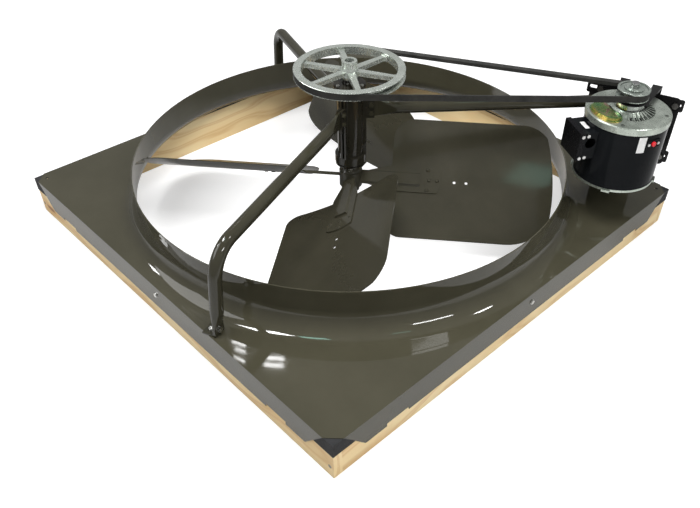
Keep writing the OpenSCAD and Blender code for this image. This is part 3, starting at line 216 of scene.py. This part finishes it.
def metal(
    name, dark, light, rough, grain=300, bump=0.1, stretch=None, metallic=1.0, crevice_shade=0.0,
):
    """Bare or plated metal with mottled colour, fine working marks and painted shade in its slots.
    """
    s = Shader(name)
    marks = s.noise(grain, 3, 0.6, s.mapped(stretch) if stretch else None)
    colour = s.ramp(s.noise(45, 5, 0.65), (0.25, dark), (0.75, light))
    s.put(
        Base_Color=s.shade_crevices(colour, crevice_shade) if crevice_shade else colour,
        Metallic=metallic,
        Roughness=s.ramp(marks, (0.3, rough[0]), (0.7, rough[1])),
    )
    s.bump(marks, bump, 0.0005)
    return s.mat


def rubber(name, dark, light, grain=250, rough=(0.55, 0.8)):
    """Moulded rubber with a fine grain."""
    s = Shader(name)
    grains = s.noise(grain, 4, 0.6)
    s.put(
        Base_Color=s.ramp(s.noise(30, 4), (0.3, dark), (0.75, light)),
        Roughness=s.ramp(grains, (0.3, rough[0]), (0.7, rough[1])),
    )
    s.bump(grains, 0.3, 0.0004)
    return s.mat


def plating():
    """Yellow chromate over zinc: green and rose on the flat, gold on the drawn rim."""
    s = Shader("yellow_chromate")
    drift = s.noise(34, 4, 0.6, distort=1.4)
    face = s.ramp(
        drift, (0.30, (0.10, 0.24, 0.13)), (0.44, (0.20, 0.42, 0.18)), (0.56, (0.36, 0.50, 0.18)),
        (0.66, (0.58, 0.36, 0.30)), (0.78, (0.30, 0.20, 0.24)),
    )
    rim = s.ramp(drift, (0.3, (0.62, 0.50, 0.12)), (0.7, (0.90, 0.62, 0.26)))
    normal = s.add("SeparateXYZ", Vector=s.add("NewGeometry").outputs["Normal"])
    flat = s.ramp(normal.outputs["Z"], (0.75, 0.0), (0.97, 1.0))
    s.put(
        Base_Color=s.mix(flat, rim, face),
        Metallic=0.9,
        Roughness=s.ramp(s.noise(200, 3), (0.3, 0.20), (0.7, 0.36)),
    )
    s.bump(s.noise(260, 2), 0.12, 0.0004)
    return s.mat


def plastic(name, dark, light, rough=(0.25, 0.4)):
    """Moulded plastic, or the film of a sticker."""
    s = Shader(name)
    s.put(
        Base_Color=s.ramp(s.noise(120, 3), (0.3, dark), (0.7, light)),
        Roughness=s.ramp(s.noise(300, 2), (0.3, rough[0]), (0.7, rough[1])),
    )
    s.bump(s.noise(500, 2), 0.08, 0.0003)
    return s.mat


# The finish of each material slot in the record
LOOKS = {
    "panel_paint": paint(
        "enamel_panel", (0.048, 0.045, 0.029), (0.060, 0.056, 0.037), (0.03, 0.055), peel=0.008),
    "strut_paint": paint("enamel_struts", (0.026, 0.024, 0.015), (0.038, 0.036, 0.023)),
    "blade_paint": paint(
        "enamel_blades", (0.032, 0.030, 0.020), (0.044, 0.041, 0.028), (0.07, 0.13), specular=0.4),
    "housing_paint": paint("enamel_housing", (0.014, 0.013, 0.009), (0.024, 0.022, 0.016)),
    "motor_paint": paint(
        "enamel_black", (0.005, 0.006, 0.007), (0.009, 0.010, 0.011), specular=0.06),
    "bracket_paint": paint(
        "enamel_bracket", (0.004, 0.004, 0.004), (0.009, 0.009, 0.009), (0.16, 0.28),
        specular=0.20),
    # the zinc and aluminium castings get painted shade in their slots and vents
    "zinc_casting": metal(
        "cast_zinc", (0.60, 0.65, 0.59), (0.80, 0.85, 0.79), (0.18, 0.32), 160, 0.07,
        metallic=0.85, crevice_shade=0.85),
    "bell_aluminium": metal(
        "bell_aluminium", (0.38, 0.43, 0.37), (0.73, 0.79, 0.71), (0.24, 0.40), 350, 0.08,
        metallic=0.85, crevice_shade=0.97),
    "zinc_screw": metal(
        "zinc_plate", (0.62, 0.62, 0.60), (0.86, 0.86, 0.84), (0.18, 0.34), 400, 0.1),
    "bearing_steel": metal(
        "ground_steel", (0.50, 0.50, 0.50), (0.72, 0.72, 0.72), (0.12, 0.26), 700, 0.05),
    "bright_steel": metal(
        "bright_strap", (0.70, 0.70, 0.71), (0.90, 0.90, 0.91), (0.10, 0.22), 500, 0.06),
    "dull_bolt": metal(
        "dull_zinc", (0.10, 0.10, 0.09), (0.30, 0.29, 0.27), (0.30, 0.48), 300, 0.15),
    "wood_screw": metal(
        "dull_steel", (0.16, 0.15, 0.14), (0.36, 0.34, 0.31), (0.35, 0.55), 300, 0.2),
    "dark_screw": metal(
        "black_oxide", (0.05, 0.05, 0.05), (0.12, 0.12, 0.12), (0.25, 0.42), 300, 0.1),
    "core_steel": metal(
        "lamination", (0.16, 0.16, 0.17), (0.32, 0.32, 0.33), (0.35, 0.55), 60, 0.3,
        (0.2, 0.2, 30)),
    "copper": metal(
        "enamelled_copper", (0.42, 0.14, 0.04), (0.68, 0.28, 0.09), (0.2, 0.34), 90, 0.5,
        (0.4, 0.4, 9)),
    "bronze": metal(
        "sintered_bronze", (0.42, 0.28, 0.12), (0.60, 0.42, 0.20), (0.4, 0.6), 500, 0.3),
    "yellow_plating": plating(),
    "foam": foam_rubber(),
    "belt_rubber": rubber("belt_rubber", (0.010, 0.010, 0.009), (0.030, 0.029, 0.026)),
    "isolator_rubber": rubber(
        "isolator_rubber", (0.010, 0.010, 0.010), (0.025, 0.025, 0.025), 150, (0.4, 0.6)),
    "red_button": plastic("red_plastic", (0.62, 0.010, 0.018), (0.78, 0.020, 0.030)),
    "phenolic": plastic("phenolic", (0.12, 0.055, 0.025), (0.20, 0.09, 0.04), (0.4, 0.6)),
    "label_white": plastic(
        "blank_sticker", (0.76, 0.76, 0.75), (0.86, 0.86, 0.85), (0.4, 0.55)),
}

# Nodes whose finish differs from their slot's
PINE_X, PINE_Y = pine("pine_x", "X"), pine("pine_y", "Y")
OWN_LOOKS = {
    "frame_board_front": PINE_X,
    "frame_board_back": PINE_X,
    "frame_board_left": PINE_Y,
    "frame_board_right": PINE_Y,
    # painted shade in its grooves as well
    "motor_pulley": metal(
        "cast_zinc_dull", (0.26, 0.31, 0.27), (0.56, 0.61, 0.56), (0.18, 0.36), 110, 0.2,
        metallic=0.8, crevice_shade=0.85),
    "junction_cover": paint(
        "enamel_box", (0.003, 0.003, 0.004), (0.006, 0.006, 0.007), (0.22, 0.34), specular=0.12),
}


def dress(obj, mat):
    obj.data.materials.clear()
    obj.data.materials.append(mat)


slot_of = {part["node"]: part["material_slot"] for part in frame["record"]["subparts"]}
for name, obj in nodes.items():
    dress(obj, OWN_LOOKS[name] if name in OWN_LOOKS else LOOKS[slot_of[name]])


# ---------- smooth shading of the drawn sheet ----------
SHARP_FROM = math.radians(24)  # turn between two faces that stays a corner
SAME_POINT = 0.00001


def smoothing_group():
    """Joins a mesh's split points, and shades it smooth except at its corners."""
    group = bpy.data.node_groups.new("smooth_sheet", "GeometryNodeTree")
    for in_out in ("INPUT", "OUTPUT"):
        group.interface.new_socket("Mesh", in_out=in_out, socket_type="NodeSocketGeometry")
    start, end = group.nodes.new("NodeGroupInput"), group.nodes.new("NodeGroupOutput")
    merge = group.nodes.new("GeometryNodeMergeByDistance")
    merge.inputs["Distance"].default_value = SAME_POINT
    clear = group.nodes.new("GeometryNodeRemoveAttribute")
    clear.inputs["Name"].default_value = "custom_normal"
    faces = group.nodes.new("GeometryNodeSetShadeSmooth")
    faces.inputs["Shade Smooth"].default_value = True
    edges = group.nodes.new("GeometryNodeSetShadeSmooth")
    edges.domain = "EDGE"
    angle = group.nodes.new("GeometryNodeInputMeshEdgeAngle")
    soft = group.nodes.new("FunctionNodeCompare")
    soft.operation = "LESS_THAN"
    soft.inputs[1].default_value = SHARP_FROM
    chain = [start, merge, clear, faces, edges, end]
    for a, b in zip(chain, chain[1:]):
        group.links.new(a.outputs[0], b.inputs[0])
    group.links.new(angle.outputs["Unsigned Angle"], soft.inputs[0])
    group.links.new(soft.outputs[0], edges.inputs["Shade Smooth"])
    return group


def smooth_sheet(obj):
    obj.modifiers.new("smooth_sheet", "NODES").node_group = smoothing_group()
    weigh = obj.modifiers.new("weigh_normals", "WEIGHTED_NORMAL")
    weigh.mode = "FACE_AREA"
    weigh.keep_sharp = True


smooth_sheet(nodes["venturi_panel"])


# ---------- floor and backdrop ----------
FLOOR_HALF = 30        # half the floor's side
FLOOR_Z = -0.0005      # just under the frame, so that no two faces coincide
FLOOR_GREY = 0.56
FLOOR_IN_MIRRORS = 0.09
# The floor's own glow as the camera sees it, by the distance from the fan's middle as a share of
# GLOW_REACH: near white in the ring's middle as painted light over the panel's shade, and a
# painted soft shadow near the ring's inner edge. It fades under the frame's edge, where the fan's
# soft shadow lies.
GLOW_REACH = 4.0
GLOW = ((0.066, 0.95), (0.108, 0.52), (0.125, 0.58), (0.22, 0.62), (0.50, 1.0))
SKY_SEEN = 1.0         # strength of the white behind everything
SKY_LIGHT = 0.30       # strength of the light that it gives the fan


def make_floor():
    """A pale floor, white where the camera sees it, that keeps the fan's shadow."""
    mesh = bpy.data.meshes.new("floor")
    h = FLOOR_HALF
    corners = [(x, y, FLOOR_Z) for x, y in ((-h, -h), (h, -h), (h, h), (-h, h))]
    mesh.from_pydata(corners, [], [(0, 1, 2, 3)])
    floor = bpy.data.objects.new("floor", mesh)
    scene.collection.objects.link(floor)

    s = Shader("floor")
    dress(floor, s.mat)
    s.put(Base_Color=(FLOOR_GREY,) * 3, Roughness=0.7, Specular_IOR_Level=0.2)
    place = s.add("SeparateXYZ", Vector=s.coord)
    x_squared, y_squared = (s.math("POWER", place.outputs[axis], 2.0) for axis in "XY")
    reach = s.math("SQRT", s.math("ADD", x_squared, y_squared))
    # painted light in the ring's middle and a painted shadow near its inner edge, for the camera
    # only
    white = s.ramp(s.math("DIVIDE", reach, GLOW_REACH), *GLOW)
    path = s.add("LightPath")
    mirrored = s.mix(path.outputs["Is Glossy Ray"], (0, 0, 0), (FLOOR_IN_MIRRORS,) * 3)
    glow = s.add(
        "Emission", Strength=1, Color=s.mix(path.outputs["Is Camera Ray"], mirrored, white))
    both = s.add("AddShader")
    s.feed(both.inputs[0], s.bsdf.outputs[0])
    s.feed(both.inputs[1], glow.outputs[0])
    s.feed(s.tree.nodes["Material Output"].inputs["Surface"], both.outputs[0])


def make_world():
    """A white sky that lights the fan less than it shows."""
    world = bpy.data.worlds.new("studio")
    scene.world = world
    world.use_nodes = True
    tree = world.node_tree
    sky = tree.nodes["Background"]
    path = tree.nodes.new("ShaderNodeLightPath")
    seen = tree.nodes.new("ShaderNodeMath")
    seen.operation = "MAXIMUM"
    strength = tree.nodes.new("ShaderNodeMix")
    strength.data_type = "FLOAT"
    strength.inputs["A"].default_value = SKY_LIGHT
    strength.inputs["B"].default_value = SKY_SEEN
    tree.links.new(path.outputs["Is Camera Ray"], seen.inputs[0])
    tree.links.new(path.outputs["Is Transmission Ray"], seen.inputs[1])
    tree.links.new(seen.outputs[0], strength.inputs["Factor"])
    tree.links.new(strength.outputs["Result"], sky.inputs["Strength"])
    sky.inputs["Color"].default_value = (1, 1, 1, 1)


# ---------- lamps ----------
WHITE = (1, 1, 1)
TEAL = (0.30, 0.62, 0.52)        # daylight through a window
FAN_MIDDLE = (0, 0, 0.1)
RING_FRONT = (0.1, -0.4, 0.1)    # where most streaks lie


def lamp(name, at, to, size, power, shines=True, colour=WHITE, along=(0, 0, 1)):
    """An area lamp whose long side lies along the given direction.
    One that doesn't shine is left out of mirror images."""
    light = bpy.data.lights.new(name, "AREA")
    light.shape = "RECTANGLE"
    light.size, light.size_y = size
    light.energy = power
    light.color = colour
    obj = bpy.data.objects.new(name, light)
    scene.collection.objects.link(obj)
    back = (Vector(at) - Vector(to)).normalized()
    side = Vector(along)
    side = (side - back * side.dot(back)).normalized()
    turn = Matrix((side, back.cross(side), back)).transposed().to_4x4()
    obj.matrix_world = Matrix.Translation(at) @ turn
    obj.visible_glossy = shines
    obj.visible_camera = False
    return obj


def streak(name, start, end, width, radiance, colour=WHITE):
    """A narrow lamp between two points that shows only in mirror images."""
    a, b = Vector(start), Vector(end)
    long = (b - a).length
    power = radiance * math.pi * long * width
    strip = lamp(name, (a + b) / 2, RING_FRONT, (long, width), power, colour=colour, along=b - a)
    strip.visible_diffuse = False


# name, place, target, size, power, whether it shows in mirror images
BOXES = (
    ("left_box", (-1.95, -2.30, 2.70), FAN_MIDDLE, (2.4, 2.0), 49, True),
    ("right_box", (2.70, -0.45, 1.95), FAN_MIDDLE, (1.2, 0.8), 34, False),
    ("inner_box", (0.30, -0.30, 1.75), (-0.25, 0.25, 0.0), (0.8, 0.8), 31, False),
    ("back_box", (0.80, 2.40, 2.60), FAN_MIDDLE, (1.2, 0.6), 19, False),
)
# name, start, end, width, radiance, colour; each mirrors as one of the photograph's streaks
STREAKS = (
    ("tube_1", (-1.87, 0.66, 2.50), (-1.80, 0.71, 2.52), 0.010, 36, WHITE),
    ("tube_2", (-1.83, 0.65, 2.53), (-1.78, 0.69, 2.55), 0.010, 36, WHITE),
    ("tube_3", (-1.80, 0.61, 2.555), (-1.74, 0.65, 2.575), 0.010, 36, WHITE),
    ("tube_4", (-1.74, 0.83, 2.46), (-1.65, 0.91, 2.48), 0.012, 44, WHITE),
    ("tube_5", (-1.67, 0.76, 2.57), (-1.58, 0.84, 2.58), 0.012, 44, WHITE),
    ("tube_6", (-1.66, 0.74, 2.61), (-1.57, 0.82, 2.62), 0.012, 44, WHITE),
    ("long_left", (-1.39, -0.25, 3.08), (-0.64, -0.62, 3.35), 0.34, 40, WHITE),
    ("long_right", (2.61, -0.52, 2.69), (2.75, 0.41, 2.54), 0.24, 30, WHITE),
    ("back_right", (1.46, 1.30, 3.02), (1.37, 1.59, 2.91), 0.26, 40, WHITE),
    ("small_left", (-2.70, -1.35, 2.04), (-2.58, -1.62, 2.04), 0.26, 30, WHITE),
    ("window_left", (-0.60, -0.34, 3.36), (-0.30, -0.17, 3.43), 0.42, 12, TEAL),
    ("window_right", (1.00, -0.06, 3.44), (1.16, 0.23, 3.38), 0.34, 3, TEAL),
)

make_floor()
make_world()
for box in BOXES:
    lamp(*box)
for row in STREAKS:
    streak(*row)
scene.view_settings.view_transform = "Standard"
